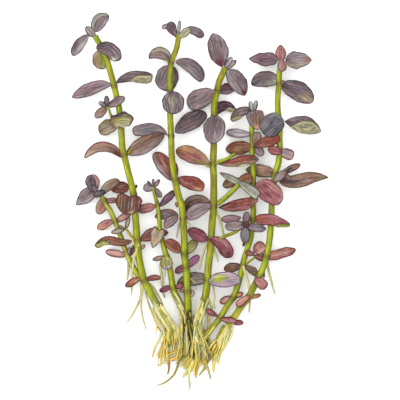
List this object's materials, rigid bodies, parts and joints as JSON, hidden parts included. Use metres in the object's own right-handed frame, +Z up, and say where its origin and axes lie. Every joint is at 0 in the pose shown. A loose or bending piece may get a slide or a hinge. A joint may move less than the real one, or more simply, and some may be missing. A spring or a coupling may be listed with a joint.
{
  "type": "aquarium plant bunch",
  "caption": "Rooted bunch of a purple bacopa water plant with green stems, purple, pink and red leaves and amber roots, laid flat.",
  "frame": {"origin": "middle of the bunch in plan, on the surface it lies on", "axes": "+Y from the roots to the shoot tips, +X across the bunch, +Z up from the surface it lies on"},
  "size_m": [0.1288, 0.1898, 0.0118],
  "materials": {
    "shoot_green": "satin",
    "leaf_purple": "satin",
    "leaf_red": "satin",
    "leaf_pink": "satin",
    "leaf_olive": "satin",
    "root_amber": "matt"
  },
  "bodies": {
    "root": {"stem_1": "shoot_green", "stem_2": "shoot_green", "stem_3": "shoot_green", "stem_4": "shoot_green", "stem_5": "shoot_green", "stem_6": "shoot_green", "stem_7": "shoot_green", "shoot_pale": "shoot_green", "shoot_rosette": "shoot_green", "root_mass": "root_amber", "root_bundle_right": "root_amber", "leaf_a01": "leaf_purple", "leaf_a03": "leaf_purple", "leaf_a04": "leaf_purple", "leaf_a06": "leaf_purple", "leaf_a07": "leaf_purple", "leaf_a08": "leaf_purple", "leaf_a09": "leaf_purple", "leaf_a11": "leaf_purple", "leaf_a12": "leaf_purple", "leaf_a13": "leaf_red", "leaf_a14": "leaf_purple", "leaf_a15": "leaf_red", "leaf_a16": "leaf_red", "leaf_c03": "leaf_purple", "leaf_c04": "leaf_purple", "leaf_c05": "leaf_purple", "leaf_c06": "leaf_purple", "leaf_c07": "leaf_purple", "leaf_c08": "leaf_purple", "leaf_c09": "leaf_purple", "leaf_c10": "leaf_purple", "leaf_c12": "leaf_red", "leaf_c13": "leaf_olive", "leaf_c14": "leaf_purple", "leaf_c15": "leaf_red", "leaf_d01": "leaf_purple", "leaf_d04": "leaf_pink", "leaf_d06": "leaf_pink", "leaf_d07": "leaf_purple", "leaf_d08": "leaf_purple", "leaf_d09": "leaf_red", "leaf_d10": "leaf_red", "leaf_d12": "leaf_olive", "leaf_d13": "leaf_pink", "leaf_d14": "leaf_red", "leaf_d15": "leaf_red", "leaf_d16": "leaf_red", "leaf_d18": "leaf_pink", "leaf_f04": "leaf_purple", "leaf_h04": "leaf_red", "leaf_e03": "leaf_pink", "leaf_e04": "leaf_olive", "leaf_e05": "leaf_purple", "leaf_e06": "leaf_purple", "leaf_e07": "leaf_purple", "leaf_e08": "leaf_purple", "leaf_e10": "leaf_red", "leaf_e11": "leaf_pink", "leaf_e12": "leaf_red"}
  },
  "joints": []
}
